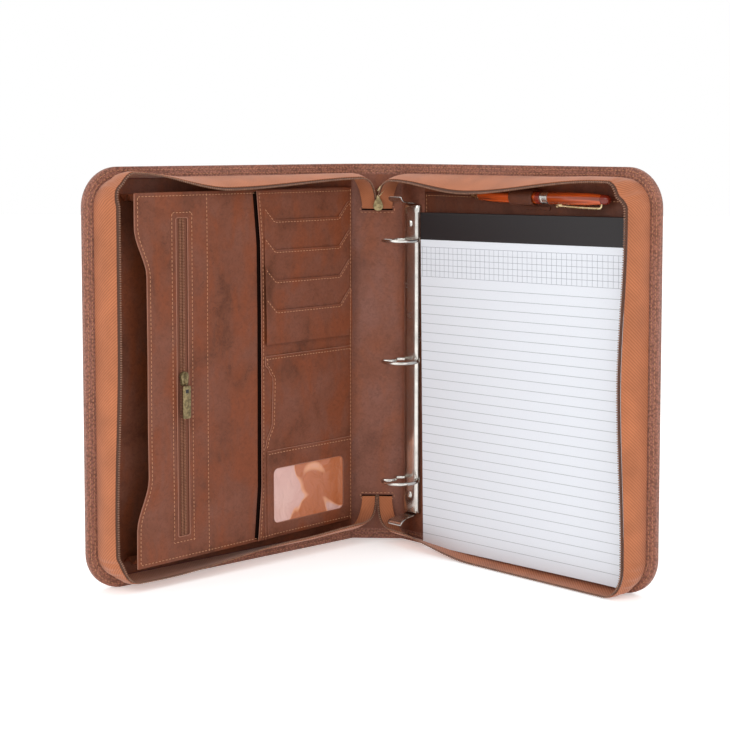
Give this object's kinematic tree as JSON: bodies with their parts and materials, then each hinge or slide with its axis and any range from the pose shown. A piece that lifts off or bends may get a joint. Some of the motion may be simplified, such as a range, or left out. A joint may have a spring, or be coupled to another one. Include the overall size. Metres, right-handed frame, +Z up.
{
  "type": "portfolio case",
  "caption": "Leather zip-around ring binder case standing open, with a document pocket leaf, card slots, a zipped pocket, a writing pad and a pen.",
  "frame": {"origin": "bottom centre of the spine, in the middle of its thickness, on the surface the case stands on", "axes": "+Z up along the spine, +X to the right across the open case towards the back cover, +Y out of the back of the spine; the covers open towards -Y"},
  "size_m": [0.4576, 0.1974, 0.342],
  "materials": {
    "leather": "oiled crazy-horse leather",
    "lining_leather": "smooth leather lining",
    "rim_leather": "pebbled leather rim, stitched",
    "board": "grey-brown board, hidden",
    "gusset_fabric": "twill fabric",
    "pocket_fabric": "dark lining fabric",
    "zip_tape": "woven tape",
    "zip_teeth": "moulded plastic coil",
    "antique_brass": "antique brass",
    "nickel": "bright nickel plate",
    "blade_steel": "plated spring steel",
    "paper": "ruled writing paper",
    "backing_card": "grey board",
    "binding_tape": "black binding tape",
    "window_film": "clear soft film",
    "pen_wood": "polished rosewood",
    "pen_gold": "gold plate",
    "refill_metal": "plated steel tube"
  },
  "bodies": {
    "spine": {"spine_outer_cover": "rim_leather", "spine_board": "board", "spine_lining": "lining_leather", "main_zip_slider": "antique_brass"},
    "main_pull": {"main_zip_pull": "antique_brass"},
    "front_cover": {"front_outer_cover": "rim_leather", "front_board": "board", "front_lining": "leather", "front_gusset": "gusset_fabric", "front_zip_tape": "zip_tape", "front_zip_teeth": "zip_teeth", "front_zip_tails": "gusset_fabric", "front_hinge_crease": "lining_leather", "pocket_bellows": "leather"},
    "pocket_leaf": {"document_pocket_leaf": "leather", "zip_pocket_bag": "pocket_fabric", "pocket_zip_tape": "zip_tape", "pocket_zip_teeth": "zip_teeth", "card_panel": "leather", "card_slot_1": "leather", "card_slot_2": "leather", "card_slot_3": "leather", "card_slot_4": "leather", "large_card_pocket": "leather", "id_pocket": "leather", "id_window": "window_film"},
    "zip_slider": {"pocket_zip_slider": "antique_brass"},
    "zip_pull": {"pocket_zip_pull": "antique_brass"},
    "back_cover": {"back_outer_cover": "rim_leather", "back_board": "board", "back_lining": "leather", "back_gusset": "gusset_fabric", "back_zip_tape": "zip_tape", "back_zip_teeth": "zip_teeth", "back_zip_tails": "gusset_fabric", "back_hinge_crease": "lining_leather", "pad_holder": "leather", "pen_loop": "leather", "ring_plate": "nickel", "plate_posts": "nickel"},
    "left_rings": {"left_ring_blade": "blade_steel", "left_ring_halves": "nickel"},
    "right_rings": {"right_ring_blade": "blade_steel", "right_ring_halves": "nickel"},
    "top_ring_lever": {"top_lever": "nickel"},
    "bottom_ring_lever": {"bottom_lever": "nickel"},
    "memo_pad": {"pad_backing_card": "backing_card", "pad_paper": "paper", "pad_binding_strip": "binding_tape"},
    "pen": {"pen_upper_barrel": "pen_wood", "pen_band": "pen_gold", "pen_clip": "pen_gold", "pen_finial": "pen_wood"},
    "pen_lower": {"pen_lower_barrel": "pen_wood", "pen_tip": "pen_gold", "pen_tube": "pen_gold"},
    "refill": {"pen_refill": "refill_metal"}
  },
  "joints": [
    {"name": "front_cover_hinge", "type": "hinge", "parent": "spine", "child": "front_cover", "pos_m": [-0.0203, -0.00725, 0.171], "axis": [0, 0, -1], "range_deg": [-48, 42], "deforming": ["front_zip_tails", "front_hinge_crease"]},
    {"name": "back_cover_hinge", "type": "hinge", "parent": "spine", "child": "back_cover", "pos_m": [0.0203, -0.00725, 0.171], "axis": [0, 0, 1], "range_deg": [-48, 42], "deforming": ["back_zip_tails", "back_hinge_crease"]},
    {"name": "pocket_leaf_hinge", "type": "hinge", "parent": "front_cover", "child": "pocket_leaf", "pos_m": [-0.0232, -0.00851, 0.17], "axis": [0, 0, 1], "range_deg": [-4, 3], "deforming": ["pocket_bellows"]},
    {"name": "pocket_zip_slide", "type": "slide", "parent": "pocket_leaf", "child": "zip_slider", "axis": [0, 0, 1], "range_m": [-0.12, 0.12]},
    {"name": "pocket_zip_pull_swing", "type": "hinge", "parent": "zip_slider", "child": "zip_pull", "pos_m": [-0.14899, -0.15372, 0.1633], "axis": [-0.6807, -0.7325, 0], "range_deg": [0, 140]},
    {"name": "main_pull_swing", "type": "hinge", "parent": "spine", "child": "main_pull", "pos_m": [0.001, -0.0109, 0.3135], "axis": [-1, 0, 0], "range_deg": [-5, 100]},
    {"name": "left_rings_open", "type": "hinge", "parent": "back_cover", "child": "left_rings", "pos_m": [0.02543, -0.0085, 0.1665], "axis": [0, 0, -1], "range_deg": [0, 10]},
    {"name": "right_rings_open", "type": "hinge", "parent": "back_cover", "child": "right_rings", "pos_m": [0.03769, -0.01954, 0.1665], "axis": [0, 0, 1], "range_deg": [0, 10]},
    {"name": "top_lever_press", "type": "hinge", "parent": "back_cover", "child": "top_ring_lever", "pos_m": [0.03122, -0.01439, 0.3025], "axis": [-0.7431, 0.6691, 0], "range_deg": [0, 20]},
    {"name": "bottom_lever_press", "type": "hinge", "parent": "back_cover", "child": "bottom_ring_lever", "pos_m": [0.03122, -0.01439, 0.0305], "axis": [0.7431, -0.6691, 0], "range_deg": [0, 20]},
    {"name": "memo_pad_lift", "type": "slide", "parent": "back_cover", "child": "memo_pad", "axis": [0, 0, 1], "range_m": [0, 0.0025]},
    {"name": "pen_slide", "type": "slide", "parent": "back_cover", "child": "pen", "axis": [0.7431, -0.6691, 0], "range_m": [0, 0.016]},
    {"name": "pen_twist", "type": "hinge", "parent": "pen", "child": "pen_lower", "pos_m": [0.13928, -0.11976, 0.316], "axis": [0.7431, -0.6691, 0], "range_deg": [0, 180]},
    {"name": "refill_feed", "type": "slide", "parent": "pen", "child": "refill", "axis": [-0.7431, 0.6691, 0], "range_m": [0, 0.0025]}
  ],
  "couplings": [
    {"joint": "right_rings_open", "follows": "left_rings_open", "ratio": 1},
    {"joint": "top_lever_press", "follows": "left_rings_open", "ratio": 2},
    {"joint": "bottom_lever_press", "follows": "left_rings_open", "ratio": 2},
    {"joint": "refill_feed", "follows": "pen_twist", "m_per_rad": 0.000795}
  ]
}
